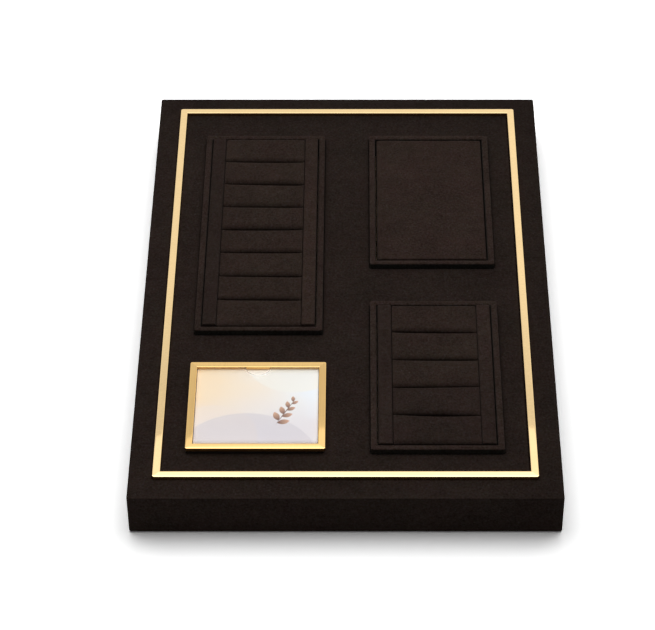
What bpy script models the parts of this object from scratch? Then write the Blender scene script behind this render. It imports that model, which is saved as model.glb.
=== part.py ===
import math

import bmesh
import bpy

# A jewellery display board for a shop counter. Its core is two sheets of MDF,
# wrapped in dark microfibre and inlaid with a brass border. Three loose trays stand in
# wells cut through the upper sheet: two hold rings between foam bars, one is a flat pad.
# A small brass frame on the front left holds a picture card under a clear cover.
# X runs to the right, Y to the back and Z up, from the middle of the underside.

MM = 0.001

# Fits that hold everywhere
GAP = 0.3 * MM                 # play between pieces that touch
THIN_GAP = 0.2 * MM            # the same inside the flat card holder
SKIN = 0.6 * MM                # thickness of the microfibre
SOFT_EDGE = 0.8 * MM           # rounding of an edge that is wrapped in microfibre

# Board
BOARD_WIDTH = 240.0 * MM
BOARD_DEPTH = 352.0 * MM
BOARD_TOP = 27.2 * MM
WELL_FLOOR = 13.9 * MM         # top of the lower sheet of MDF
FELT_THICKNESS = 0.5 * MM
FELT_INSET = 4.0 * MM
FELT_CORNER = 3.0 * MM
TURN_UNDER = 15.0 * MM         # microfibre folded under the board's edge
SKIN_BOTTOM = FELT_THICKNESS + THIN_GAP

# Brass border, a flat bar frame let into a groove
BORDER_BAR = 4.2 * MM
BORDER_WIDTH = 213.2 * MM
BORDER_FRONT_MARGIN = 14.7 * MM
BORDER_BACK_MARGIN = 12.8 * MM
BORDER_PROUD = 2.2 * MM
GROOVE_DEPTH = 1.8 * MM
BORDER_CORNER = 1.2 * MM
BRASS_EDGE = 0.25 * MM

# Trays
TRAY_WIDTH = 74.8 * MM
TRAY_RIM = 3.7 * MM
TRAY_PROUD = 3.5 * MM          # rim above the board
TRAY_PLAY = 0.6 * MM           # between the tray and its well, on each side
TRAY_CORNER = 1.4 * MM
TRAY_FLOOR_THICKNESS = 2.0 * MM
INSERT_BOARD_THICKNESS = 1.5 * MM
LINING_CORNER = 1.0 * MM
BOARD_CORNER = 0.5 * MM        # of the thin boards that lie inside a tray or the holder
TRAY_COLUMN = 51.3 * MM        # from the board's centre line to a tray's centre line
TRAY_BACK_LINE = 41.4 * MM     # from the board's back edge to the rear trays
LARGE_TRAY_DEPTH = 179.9 * MM
SMALL_TRAY_DEPTH = 121.9 * MM
SMALL_TRAY_FRONT = 34.3 * MM   # from the board's front edge

# Ring inserts
LARGE_TRAY_BARS = 8
SMALL_TRAY_BARS = 5
STRIP_WIDTH = 8.2 * MM
STRIP_PROUD = 1.2 * MM         # strips above the tray's rim
STRIP_GROOVE = 0.6 * MM        # between a strip and the rim
BAR_PROUD = 0.1 * MM           # bars above the rim, before their crown
BAR_CROWN = 0.5 * MM
BAR_EDGE = 2.4 * MM
BAR_WAIST = 0.2 * MM           # how far a bar's long sides draw in at its middle
SLIT = 0.5 * MM                # between two bars, where the rings are pushed in

# Flat pad
PAD_GROOVE = 0.75 * MM
PAD_CROWN = 0.5 * MM
PAD_EDGE = 1.6 * MM
PAD_PROUD = -0.2 * MM          # pad against the rim, before its crown

# Card holder
HOLDER_WIDTH = 78.0 * MM
HOLDER_DEPTH = 69.2 * MM
HOLDER_CENTRE_X = -50.4 * MM
HOLDER_FRONT = 34.5 * MM       # from the board's front edge
HOLDER_BAR = 4.0 * MM
HOLDER_BASE_WIDTH = 74.0 * MM
HOLDER_BASE_THICKNESS = 1.1 * MM
HOLDER_FRAME_HEIGHT = 2.6 * MM
HOLDER_CORNER = 0.9 * MM
CARD_THICKNESS = 0.3 * MM
CARD_CORNER = 0.3 * MM
COVER_THICKNESS = 1.7 * MM
COVER_CORNER = 0.5 * MM
NOTCH_HALF_WIDTH = 7.0 * MM
NOTCH_DEPTH = 6.3 * MM

# Levels that follow from the sizes above
SKIN_BACK = SKIN + GAP                             # from the board's face to its MDF
TRAY_BOTTOM = WELL_FLOOR + GAP + SKIN + GAP
RIM_TOP = BOARD_TOP + TRAY_PROUD
INSERT_BOTTOM = TRAY_BOTTOM + TRAY_FLOOR_THICKNESS + GAP
FILLING_BOTTOM = INSERT_BOTTOM + INSERT_BOARD_THICKNESS + GAP
TRAY_INNER_WIDTH = TRAY_WIDTH - 2 * TRAY_RIM
BORDER_DEPTH = BOARD_DEPTH - BORDER_FRONT_MARGIN - BORDER_BACK_MARGIN
BORDER_CENTRE_Y = (BORDER_FRONT_MARGIN - BORDER_BACK_MARGIN) / 2

X_AXIS = (1.0, 0.0, 0.0)
Y_AXIS = (0.0, 1.0, 0.0)
Z_AXIS = (0.0, 0.0, 1.0)
TOLERANCE = 0.01 * MM


def from_back(distance):
    return BOARD_DEPTH / 2 - distance


def from_front(distance):
    return distance - BOARD_DEPTH / 2


# Each tray: centre x, centre y, depth
LARGE_TRAY = (-TRAY_COLUMN, from_back(TRAY_BACK_LINE + LARGE_TRAY_DEPTH / 2), LARGE_TRAY_DEPTH)
PAD_TRAY = (TRAY_COLUMN, from_back(TRAY_BACK_LINE + SMALL_TRAY_DEPTH / 2), SMALL_TRAY_DEPTH)
SMALL_TRAY = (TRAY_COLUMN, from_front(SMALL_TRAY_FRONT + SMALL_TRAY_DEPTH / 2), SMALL_TRAY_DEPTH)


def clear_scene():
    for obj in list(bpy.data.objects):
        bpy.data.objects.remove(obj, do_unlink=True)


def new_collection(name):
    collection = bpy.data.collections.new(name)
    bpy.context.scene.collection.children.link(collection)
    return collection


def new_material(name, colour, roughness, metallic=0.0, transmission=0.0):
    material = bpy.data.materials.new(name)
    material.use_nodes = True
    material.diffuse_color = (*colour, 1.0)
    shader = material.node_tree.nodes["Principled BSDF"]
    shader.inputs["Base Color"].default_value = (*colour, 1.0)
    shader.inputs["Roughness"].default_value = roughness
    shader.inputs["Metallic"].default_value = metallic
    shader.inputs["Transmission Weight"].default_value = transmission
    return material


def add_object(name, data, collection, material=None, parent=None, location=(0.0, 0.0, 0.0)):
    obj = bpy.data.objects.new(name, data)
    obj.location = location
    obj.parent = parent
    if material:
        obj.data.materials.append(material)
    collection.objects.link(obj)
    return obj


def add_empty(name, location):
    empty = bpy.data.objects.new(name, None)
    empty.location = location
    empty.empty_display_size = 10 * MM
    bpy.context.scene.collection.objects.link(empty)
    return empty


def mesh_from(bm, name):
    mesh = bpy.data.meshes.new(name)
    bm.to_mesh(mesh)
    bm.free()
    return mesh


def add_bevel(obj, width, segments=2):
    bevel = obj.modifiers.new("edges", "BEVEL")
    bevel.width = width
    bevel.segments = segments
    bevel.limit_method = "ANGLE"
    bevel.angle_limit = math.radians(40)
    return bevel


def block_bmesh(size_x, size_y, height):
    # A box that stands on its own origin
    bm = bmesh.new()
    bmesh.ops.create_cube(bm, size=1.0)
    bmesh.ops.scale(bm, vec=(size_x, size_y, height), verts=bm.verts)
    bmesh.ops.translate(bm, vec=(0.0, 0.0, height / 2), verts=bm.verts)
    return bm


def cut_lines(bm, axis, positions):
    # Positions that agree to within a micrometre share one line
    for position in sorted({round(value, 6) for value in positions}):
        point = [component * position for component in axis]
        geometry = bm.verts[:] + bm.edges[:] + bm.faces[:]
        bmesh.ops.bisect_plane(bm, geom=geometry, plane_co=point, plane_no=axis)


def frame_mesh(name, size_x, size_y, height, bar, corner):
    # A flat rectangular frame with mitred bars and rounded outer corners
    bm = block_bmesh(size_x, size_y, height)
    caps = [face for face in bm.faces if abs(face.normal.z) > 0.9]
    bmesh.ops.inset_individual(bm, faces=caps, thickness=bar, use_even_offset=True)
    inner_edges = list({edge for face in caps for edge in face.edges})
    bmesh.ops.delete(bm, geom=caps, context="FACES_ONLY")
    bmesh.ops.bridge_loops(bm, edges=inner_edges)
    if corner > 0.0:
        bmesh.ops.bevel(
            bm,
            geom=outer_corner_edges(bm, size_x, size_y),
            offset=corner,
            offset_type="OFFSET",
            segments=3,
            profile=0.5,
            affect="EDGES",
        )
    bmesh.ops.recalc_face_normals(bm, faces=bm.faces)
    return mesh_from(bm, name)


def outer_corner_edges(bm, size_x, size_y):
    def at_corner(vert):
        beside_x = abs(abs(vert.co.x) - size_x / 2) < TOLERANCE
        beside_y = abs(abs(vert.co.y) - size_y / 2) < TOLERANCE
        return beside_x and beside_y

    upright = [edge for edge in bm.edges if abs(edge.verts[0].co.z - edge.verts[1].co.z) > TOLERANCE]
    return [edge for edge in upright if all(at_corner(vert) for vert in edge.verts)]


def arc_points(centre_x, centre_y, radius, start_degrees, end_degrees, steps):
    points = []
    for step in range(steps + 1):
        angle = math.radians(start_degrees + (end_degrees - start_degrees) * step / steps)
        points.append((centre_x + radius * math.cos(angle), centre_y + radius * math.sin(angle)))
    return points


def rounded_outline(size_x, size_y, corner, steps=4):
    # Anticlockwise from the front right corner
    inner_x = size_x / 2 - corner
    inner_y = size_y / 2 - corner
    outline = arc_points(inner_x, -inner_y, corner, -90, 0, steps)
    outline += arc_points(inner_x, inner_y, corner, 0, 90, steps)
    outline += arc_points(-inner_x, inner_y, corner, 90, 180, steps)
    outline += arc_points(-inner_x, -inner_y, corner, 180, 270, steps)
    return outline


def sheet_curve(name, outline, thickness):
    # A flat sheet, half of it above and half below its origin
    curve = bpy.data.curves.new(name, "CURVE")
    curve.dimensions = "2D"
    curve.fill_mode = "BOTH"
    curve.extrude = thickness / 2
    spline = curve.splines.new("POLY")
    spline.points.add(len(outline) - 1)
    for point, (x, y) in zip(spline.points, outline):
        point.co = (x, y, 0.0, 1.0)
    spline.use_cyclic_u = True
    return curve


def add_sheet(name, size_x, size_y, thickness, corner, collection, material, parent, x, y, bottom):
    curve = sheet_curve(name, rounded_outline(size_x, size_y, corner), thickness)
    return add_object(name, curve, collection, material, parent, (x, y, bottom + thickness / 2))


def faces_inside(bm, x_range, y_range, height):
    found = []
    for face in bm.faces:
        centre = face.calc_center_median()
        across = x_range[0] < centre.x < x_range[1]
        along = y_range[0] < centre.y < y_range[1]
        if across and along and abs(centre.z - height) < TOLERANCE:
            found.append(face)
    return found


def sink_faces(bm, faces, depth):
    sunk = bmesh.ops.extrude_face_region(bm, geom=faces)["geom"]
    bmesh.ops.delete(bm, geom=faces, context="FACES")
    verts = [item for item in sunk if isinstance(item, bmesh.types.BMVert)]
    bmesh.ops.translate(bm, vec=(0.0, 0.0, -depth), verts=verts)
    return [item for item in sunk if isinstance(item, bmesh.types.BMFace)]


def well_ranges(tray):
    centre_x, centre_y, depth = tray
    half_x = TRAY_WIDTH / 2 + TRAY_PLAY
    half_y = depth / 2 + TRAY_PLAY
    return (centre_x - half_x, centre_x + half_x), (centre_y - half_y, centre_y + half_y)


def border_range(centre, length, growth):
    # Both edges of a ring, grown outwards by the amount given
    return (centre - length / 2 - growth, centre + length / 2 + growth)


def make_skin(collection, material):
    # One sheet over the top and sides, turned under the board and down into each well.
    # The box gets cut lines, the wells and the groove sink along them, and Solidify adds the cloth.
    height = BOARD_TOP - SKIN_BOTTOM
    bm = block_bmesh(BOARD_WIDTH, BOARD_DEPTH, height)
    underside = [face for face in bm.faces if face.normal.z < -0.9]
    bmesh.ops.inset_individual(bm, faces=underside, thickness=TURN_UNDER, use_even_offset=True)
    bmesh.ops.delete(bm, geom=underside, context="FACES")

    outer_x = border_range(0.0, BORDER_WIDTH, GAP)
    outer_y = border_range(BORDER_CENTRE_Y, BORDER_DEPTH, GAP)
    inner_x = border_range(0.0, BORDER_WIDTH, -BORDER_BAR - GAP)
    inner_y = border_range(BORDER_CENTRE_Y, BORDER_DEPTH, -BORDER_BAR - GAP)
    wells = [well_ranges(tray) for tray in (LARGE_TRAY, SMALL_TRAY, PAD_TRAY)]
    cut_lines(bm, X_AXIS, [*outer_x, *inner_x, *[x for well in wells for x in well[0]]])
    cut_lines(bm, Y_AXIS, [*outer_y, *inner_y, *[y for well in wells for y in well[1]]])

    inside = set(faces_inside(bm, inner_x, inner_y, height))
    groove = [face for face in faces_inside(bm, outer_x, outer_y, height) if face not in inside]
    sink_faces(bm, groove, GROOVE_DEPTH)
    well_depth = BOARD_TOP - WELL_FLOOR - GAP
    for x_range, y_range in wells:
        floor = sink_faces(bm, faces_inside(bm, x_range, y_range, height), well_depth)
        bmesh.ops.delete(bm, geom=floor, context="FACES")

    mesh = mesh_from(bm, "base_fabric_wrap")
    skin = add_object("base_fabric_wrap", mesh, collection, material, None, (0.0, 0.0, SKIN_BOTTOM))
    add_bevel(skin, SOFT_EDGE)
    cloth = skin.modifiers.new("cloth", "SOLIDIFY")
    cloth.thickness = SKIN
    cloth.offset = -1.0
    return skin


def add_cutter(name, mesh, cutters, location):
    cutter = add_object(name, mesh, cutters, None, None, location)
    cutter.hide_render = True
    cutter.display_type = "WIRE"
    return cutter


def subtract(obj, cutter):
    boolean = obj.modifiers.new(cutter.name, "BOOLEAN")
    boolean.operation = "DIFFERENCE"
    boolean.object = cutter


def make_boards(collection, cutters, material):
    width = BOARD_WIDTH - 2 * SKIN_BACK
    depth = BOARD_DEPTH - 2 * SKIN_BACK
    lower_bottom = SKIN_BOTTOM + SKIN_BACK
    mesh = mesh_from(block_bmesh(width, depth, WELL_FLOOR - lower_bottom), "base_lower_board")
    add_object("base_lower_board", mesh, collection, material, None, (0.0, 0.0, lower_bottom))

    upper_bottom = WELL_FLOOR + GAP
    upper_top = BOARD_TOP - SKIN_BACK
    mesh = mesh_from(block_bmesh(width, depth, upper_top - upper_bottom), "base_upper_board")
    upper = add_object("base_upper_board", mesh, collection, material, None, (0.0, 0.0, upper_bottom))

    overshoot = 2 * MM
    cut_height = upper_top - upper_bottom + 2 * overshoot
    for number, tray in enumerate((LARGE_TRAY, SMALL_TRAY, PAD_TRAY), start=1):
        x_range, y_range = well_ranges(tray)
        cut_x = x_range[1] - x_range[0] + 2 * SKIN_BACK
        cut_y = y_range[1] - y_range[0] + 2 * SKIN_BACK
        mesh = mesh_from(block_bmesh(cut_x, cut_y, cut_height), "well_cutter")
        place = (tray[0], tray[1], upper_bottom - overshoot)
        subtract(upper, add_cutter(f"well_cutter_{number}", mesh, cutters, place))

    growth = 2 * (GAP + SKIN_BACK)
    mesh = frame_mesh(
        "groove_cutter",
        BORDER_WIDTH + growth,
        BORDER_DEPTH + growth,
        GROOVE_DEPTH + overshoot,
        BORDER_BAR + growth,
        0.0,
    )
    place = (0.0, BORDER_CENTRE_Y, upper_top - GROOVE_DEPTH)
    subtract(upper, add_cutter("groove_cutter", mesh, cutters, place))


def make_border(collection, material):
    bottom = BOARD_TOP - GROOVE_DEPTH + GAP
    height = BOARD_TOP + BORDER_PROUD - bottom
    mesh = frame_mesh("brass_border", BORDER_WIDTH, BORDER_DEPTH, height, BORDER_BAR, BORDER_CORNER)
    border = add_object("brass_border", mesh, collection, material, None, (0.0, BORDER_CENTRE_Y, bottom))
    add_bevel(border, BRASS_EDGE)


def make_base(collection, cutters, materials):
    make_boards(collection, cutters, materials["mdf"])
    make_skin(collection, materials["microfibre"])
    make_border(collection, materials["brass"])
    add_sheet(
        "base_underside_felt",
        BOARD_WIDTH - 2 * FELT_INSET,
        BOARD_DEPTH - 2 * FELT_INSET,
        FELT_THICKNESS,
        FELT_CORNER,
        collection,
        materials["felt"],
        None,
        0.0,
        0.0,
        0.0,
    )
    linings = (("large_ring", LARGE_TRAY), ("small_ring", SMALL_TRAY), ("pad", PAD_TRAY))
    for name, tray in linings:
        x_range, y_range = well_ranges(tray)
        add_sheet(
            f"{name}_well_lining",
            x_range[1] - x_range[0] - 2 * GAP,
            y_range[1] - y_range[0] - 2 * GAP,
            SKIN,
            LINING_CORNER,
            collection,
            materials["microfibre"],
            None,
            tray[0],
            tray[1],
            WELL_FLOOR + GAP,
        )


def padded_block(name, size_x, size_y, height, edge, crown, waist, cuts_x, cuts_y, square_ends):
    # A coarse cage for a foam block in its cover: the top swells, the long sides draw in,
    # and the edges are held by cut lines close to them. The underside stays flat and sharp.
    bm = block_bmesh(size_x, size_y, height)
    steps_x = [size_x * step / cuts_x - size_x / 2 for step in range(1, cuts_x)]
    steps_y = [size_y * step / cuts_y - size_y / 2 for step in range(1, cuts_y)]
    if not square_ends:
        steps_x += [edge - size_x / 2, size_x / 2 - edge]
    steps_y += [edge - size_y / 2, size_y / 2 - edge]
    cut_lines(bm, X_AXIS, steps_x)
    cut_lines(bm, Y_AXIS, steps_y)
    cut_lines(bm, Z_AXIS, [height - edge])

    crease = bm.edges.layers.float.new("crease_edge")
    for edge_item in bm.edges:
        low = all(vert.co.z < TOLERANCE for vert in edge_item.verts)
        at_end = all(abs(abs(vert.co.x) - size_x / 2) < TOLERANCE for vert in edge_item.verts)
        on_rim = any(abs(face.normal.x) < 0.5 for face in edge_item.link_faces)
        beside_end = any(abs(face.normal.x) > 0.5 for face in edge_item.link_faces)
        outline = low and any(abs(face.normal.z) < 0.5 for face in edge_item.link_faces)
        if outline or (square_ends and at_end and on_rim and beside_end):
            edge_item[crease] = 1.0

    for vert in bm.verts:
        along = 2 * vert.co.x / size_x
        across = 2 * vert.co.y / size_y
        if vert.co.z > height - TOLERANCE:
            vert.co.z += crown * (1 - along**2) * (1 - across**2)
        if abs(across) > 0.99 and vert.co.z > TOLERANCE:
            vert.co.y -= math.copysign(waist * (1 - along**2), across)
        if abs(along) > 0.99 and vert.co.z > TOLERANCE and not square_ends:
            vert.co.x -= math.copysign(waist * (1 - across**2), along)
    mesh = mesh_from(bm, name)
    mesh.shade_smooth()
    return mesh


def add_subdivision(obj, levels):
    subdivision = obj.modifiers.new("soft", "SUBSURF")
    subdivision.levels = levels
    subdivision.render_levels = levels


def make_tray(name, tray, collection, materials):
    # The wrapped walls with their floor, on an empty at the middle of the tray's underside
    centre_x, centre_y, depth = tray
    empty = add_empty(f"{name}_lift", (centre_x, centre_y, TRAY_BOTTOM))
    mesh = frame_mesh(f"{name}_frame", TRAY_WIDTH, depth, RIM_TOP - TRAY_BOTTOM, TRAY_RIM, TRAY_CORNER)
    frame = add_object(f"{name}_frame", mesh, collection, materials["microfibre"], empty)
    add_bevel(frame, SOFT_EDGE)
    add_sheet(
        f"{name}_floor",
        TRAY_INNER_WIDTH - 2 * GAP,
        depth - 2 * TRAY_RIM - 2 * GAP,
        TRAY_FLOOR_THICKNESS,
        BOARD_CORNER,
        collection,
        materials["mdf"],
        empty,
        0.0,
        0.0,
        0.0,
    )
    return empty


def make_ring_tray(name, tray, bar_count, collection, materials):
    empty = make_tray(f"{name}_tray", tray, collection, materials)
    depth = tray[2]
    insert_width = TRAY_INNER_WIDTH - 2 * STRIP_GROOVE
    insert_depth = depth - 2 * TRAY_RIM - 2 * STRIP_GROOVE
    insert_bottom = INSERT_BOTTOM - TRAY_BOTTOM
    filling_bottom = FILLING_BOTTOM - TRAY_BOTTOM
    add_sheet(
        f"{name}_insert_board",
        insert_width,
        insert_depth,
        INSERT_BOARD_THICKNESS,
        BOARD_CORNER,
        collection,
        materials["grey_board"],
        empty,
        0.0,
        0.0,
        insert_bottom,
    )

    strip_height = RIM_TOP + STRIP_PROUD - FILLING_BOTTOM
    strip_mesh = mesh_from(block_bmesh(STRIP_WIDTH, insert_depth, strip_height), f"{name}_end_strip")
    strip_mesh.materials.append(materials["microfibre"])
    strip_x = insert_width / 2 - STRIP_WIDTH / 2
    for side, x in (("left", -strip_x), ("right", strip_x)):
        place = (x, 0.0, filling_bottom)
        strip = add_object(f"{name}_end_strip_{side}", strip_mesh, collection, None, empty, place)
        add_bevel(strip, SOFT_EDGE)

    bar_length = insert_width - 2 * STRIP_WIDTH - 2 * GAP
    pitch = insert_depth / bar_count
    bar_height = RIM_TOP + BAR_PROUD - FILLING_BOTTOM
    bar_mesh = padded_block(
        f"{name}_bar", bar_length, pitch - SLIT, bar_height, BAR_EDGE, BAR_CROWN, BAR_WAIST, 4, 2, True
    )
    bar_mesh.materials.append(materials["microfibre"])
    for number in range(1, bar_count + 1):
        place = (0.0, insert_depth / 2 - (number - 0.5) * pitch, filling_bottom)
        bar = add_object(f"{name}_bar_{number}", bar_mesh, collection, None, empty, place)
        add_subdivision(bar, 1)


def make_pad_tray(collection, materials):
    empty = make_tray("pad_tray", PAD_TRAY, collection, materials)
    pad_width = TRAY_INNER_WIDTH - 2 * PAD_GROOVE
    pad_depth = PAD_TRAY[2] - 2 * TRAY_RIM - 2 * PAD_GROOVE
    add_sheet(
        "pad_backing_board",
        pad_width,
        pad_depth,
        INSERT_BOARD_THICKNESS,
        BOARD_CORNER,
        collection,
        materials["grey_board"],
        empty,
        0.0,
        0.0,
        INSERT_BOTTOM - TRAY_BOTTOM,
    )
    pad_height = RIM_TOP + PAD_PROUD - FILLING_BOTTOM
    mesh = padded_block(
        "display_pad", pad_width, pad_depth, pad_height, PAD_EDGE, PAD_CROWN, BAR_WAIST, 4, 6, False
    )
    place = (0.0, 0.0, FILLING_BOTTOM - TRAY_BOTTOM)
    pad = add_object("display_pad", mesh, collection, materials["microfibre"], empty, place)
    add_subdivision(pad, 1)


def cover_outline(size_x, size_y, corner):
    # A rounded rectangle with a thumb notch in its back edge. The notch is the arc of the
    # circle through its two ends and its deepest point.
    outline = rounded_outline(size_x, size_y, corner)
    radius = (NOTCH_HALF_WIDTH**2 + NOTCH_DEPTH**2) / (2 * NOTCH_DEPTH)
    centre_y = size_y / 2 - NOTCH_DEPTH + radius
    half_angle = math.degrees(math.asin(NOTCH_HALF_WIDTH / radius))
    notch = arc_points(0.0, centre_y, radius, -90 + half_angle, -90 - half_angle, 16)
    middle = len(outline) // 2
    return outline[:middle] + notch + outline[middle:]


def make_card_holder(collection, materials):
    centre_y = from_front(HOLDER_FRONT + HOLDER_DEPTH / 2)
    base_bottom = BOARD_TOP + THIN_GAP
    frame_bottom = base_bottom + HOLDER_BASE_THICKNESS + THIN_GAP
    cover_bottom = frame_bottom + CARD_THICKNESS + THIN_GAP
    # The base is glued on a little off centre and ends level with the frame's left side
    base_x = HOLDER_CENTRE_X - (HOLDER_WIDTH - HOLDER_BASE_WIDTH) / 2
    add_sheet(
        "card_holder_base",
        HOLDER_BASE_WIDTH,
        HOLDER_DEPTH,
        HOLDER_BASE_THICKNESS,
        BOARD_CORNER,
        collection,
        materials["black_board"],
        None,
        base_x,
        centre_y,
        base_bottom,
    )
    mesh = frame_mesh(
        "card_holder_frame", HOLDER_WIDTH, HOLDER_DEPTH, HOLDER_FRAME_HEIGHT, HOLDER_BAR, HOLDER_CORNER
    )
    place = (HOLDER_CENTRE_X, centre_y, frame_bottom)
    frame = add_object("card_holder_frame", mesh, collection, materials["brass"], None, place)
    add_bevel(frame, BRASS_EDGE)

    card_width = HOLDER_WIDTH - 2 * HOLDER_BAR - 2 * GAP
    card_depth = HOLDER_DEPTH - 2 * HOLDER_BAR - 2 * GAP
    card_empty = add_empty("card_lift", (HOLDER_CENTRE_X, centre_y, frame_bottom))
    add_sheet(
        "picture_card",
        card_width,
        card_depth,
        CARD_THICKNESS,
        CARD_CORNER,
        collection,
        materials["card"],
        card_empty,
        0.0,
        0.0,
        0.0,
    )
    cover_empty = add_empty("cover_lift", (0.0, 0.0, cover_bottom - frame_bottom))
    cover_empty.parent = card_empty
    outline = cover_outline(card_width, card_depth, COVER_CORNER)
    curve = sheet_curve("clear_cover", outline, COVER_THICKNESS)
    place = (0.0, 0.0, COVER_THICKNESS / 2)
    add_object("clear_cover", curve, collection, materials["acrylic"], cover_empty, place)


def make_materials():
    return {
        "microfibre": new_material("dark brown microfibre", (0.022, 0.015, 0.012), 0.95),
        "mdf": new_material("raw mdf", (0.42, 0.29, 0.18), 0.8),
        "grey_board": new_material("grey board", (0.30, 0.29, 0.27), 0.9),
        "black_board": new_material("black board", (0.006, 0.005, 0.005), 0.6),
        "felt": new_material("black felt", (0.012, 0.011, 0.011), 1.0),
        "brass": new_material("polished brass", (0.83, 0.58, 0.25), 0.14, metallic=1.0),
        "card": new_material("printed card", (0.86, 0.80, 0.76), 0.55),
        "acrylic": new_material("clear acrylic", (0.97, 0.98, 0.98), 0.03, transmission=1.0),
    }


def build():
    clear_scene()
    collection = new_collection("jewelry_display_stand")
    cutters = new_collection("cutters")
    materials = make_materials()
    make_base(collection, cutters, materials)
    make_ring_tray("large_ring", LARGE_TRAY, LARGE_TRAY_BARS, collection, materials)
    make_ring_tray("small_ring", SMALL_TRAY, SMALL_TRAY_BARS, collection, materials)
    make_pad_tray(collection, materials)
    make_card_holder(collection, materials)


build()
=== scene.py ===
import math

import bmesh
import bpy
import numpy as np
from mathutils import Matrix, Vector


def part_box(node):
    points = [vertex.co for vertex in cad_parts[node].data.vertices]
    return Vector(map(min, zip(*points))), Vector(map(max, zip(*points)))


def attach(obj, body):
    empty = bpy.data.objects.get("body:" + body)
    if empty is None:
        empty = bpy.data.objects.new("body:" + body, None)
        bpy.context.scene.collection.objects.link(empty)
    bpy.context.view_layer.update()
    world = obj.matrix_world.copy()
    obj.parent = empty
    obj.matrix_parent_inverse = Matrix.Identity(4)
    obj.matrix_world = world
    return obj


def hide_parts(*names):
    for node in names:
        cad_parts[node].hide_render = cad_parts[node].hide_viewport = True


# The looks of a counter display board: microfibre, foam bars, brass and a covered picture card.
# Every piece is worked out in metres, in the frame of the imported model, and placed from its box.

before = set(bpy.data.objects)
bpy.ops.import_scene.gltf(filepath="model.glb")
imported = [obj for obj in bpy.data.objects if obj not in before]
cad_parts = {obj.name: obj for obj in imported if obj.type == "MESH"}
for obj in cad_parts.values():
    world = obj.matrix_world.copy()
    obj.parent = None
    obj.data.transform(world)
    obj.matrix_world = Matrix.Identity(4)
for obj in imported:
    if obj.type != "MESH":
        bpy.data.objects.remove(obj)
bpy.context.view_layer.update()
mm = 0.001
print("frame loaded")


# Numbers to arrays

def inMm(**sizes):
    # sizes in millimetres, by name, turned to metres
    return {name: np.multiply(size, mm) for name, size in sizes.items()}


def boxOf(node, furtherBack=0.0):
    # lowest and highest corner, half sizes and centre of a solid, its back edge moved if asked
    low, high = (np.array(corner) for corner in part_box(node))
    high[1] += furtherBack
    return low, high, (high - low) / 2, (high + low) / 2


def gridQuads(rows, columns, closeRows=False, closeColumns=False):
    # four neighbours of a grid make a face; a closed direction joins its last line to its first
    r = np.arange(rows if closeRows else rows - 1)
    c = np.arange(columns if closeColumns else columns - 1)
    r, c = (a.ravel() for a in np.meshgrid(r, c, indexing="ij"))
    nextR, nextC = (r + 1) % rows, (c + 1) % columns
    return np.stack([r * columns + c, r * columns + nextC, nextR * columns + nextC, nextR * columns + c], 1)


def fan(ring, hub):
    # a ring of points joined to one hub
    hubs = np.full(len(ring), hub)
    return np.stack([ring, np.roll(ring, -1), hubs, hubs], 1)


def spread(start, end, step):
    # even positions from start to end, at most one step apart
    return np.linspace(start, end, max(2, int(math.ceil(abs(end - start) / step)) + 1))


def arcRows(centreOut, centreZ, radius, startDegrees, endDegrees, steps):
    # (outward, height) of points on a quarter circle: centre + radius (sin a, cos a)
    a = np.radians(np.linspace(startDegrees, endDegrees, steps + 1))
    return np.stack([centreOut + radius * np.sin(a), centreZ + radius * np.cos(a)], 1)


def ringPart(rows, sharesX, sharesY, cornerSteps=6, closeRows=False):
    # Each row is a rectangle with rounded corners: half width, half depth, centre x and y, height, radius.
    # A side runs through centre + share x (half size - radius), a corner through
    # centre + half size - radius + radius (sin a, cos a).
    hx, hy, cx, cy, z, r = (column[:, None] for column in np.asarray(rows, float).T)
    a = np.linspace(0, np.pi / 2, cornerSteps + 1)[None, 1:-1]
    rSin, rCos = r * np.sin(a), r * np.cos(a)
    ex, ey = hx - r, hy - r
    sx, sy = np.asarray(sharesX)[None, :], np.asarray(sharesY)[None, :]
    one, turn = np.ones_like(sx), np.ones_like(sy)
    x = [cx + sx * ex, cx + ex + rSin, (cx + hx) * turn, cx + ex + rCos,
         cx + sx[:, ::-1] * ex, cx - ex - rSin, (cx - hx) * turn, cx - ex - rCos]
    y = [(cy - hy) * one, cy - ey - rCos, cy + sy * ey, cy + ey + rSin,
         (cy + hy) * one, cy + ey + rCos, cy + sy[:, ::-1] * ey, cy - ey - rSin]
    x, y = np.concatenate(x, 1), np.concatenate(y, 1)
    points = np.stack([x, y, np.broadcast_to(z, x.shape)], -1)
    return points, gridQuads(*x.shape, closeRows, True)


def carriedRound(profile, halves, centre, corner, leastCorner, countX, countY, cornerSteps=6):
    # a closed profile of (inset, height) points carried once round a rectangle
    rows = [(*(halves[:2] - inset), *centre[:2], z, max(corner - inset, leastCorner)) for inset, z in profile]
    return ringPart(rows, np.linspace(-1, 1, countX), np.linspace(-1, 1, countY), cornerSteps, True)


def barProfile(low, high, bar, rounds, crown, foot, counts):
    # The closed section of a bar, as insets and heights: foot, outer wall, rounded edge, domed top, rounded
    # edge, inner wall and foot. The dome is crown x (1 - share^2).
    (outer, inner), (footIn, footUp), (walls, tops, outerSteps, innerSteps) = rounds, foot, counts
    shoulder = high - crown
    inset = np.linspace(outer, bar - inner, tops)
    share = (inset - inset.mean()) / (inset[-1] - inset.mean())
    outside = np.linspace(low + footUp, shoulder - outer, walls)
    inside = np.linspace(shoulder - inner, low + footUp, walls)
    over = arcRows(-outer, shoulder - outer, outer, 90, 0, outerSteps)[1:-1]
    down = arcRows(-inner, shoulder - inner, inner, 0, 90, innerSteps)[1:-1]
    return np.concatenate([
        [[footIn, low]], np.stack([np.zeros(walls), outside], 1), over * (-1, 1),
        np.stack([inset, shoulder + crown * (1 - share ** 2)], 1), down + (bar, 0),
        np.stack([np.full(walls, bar), inside], 1), [[bar - footIn, low]],
    ])


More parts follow.
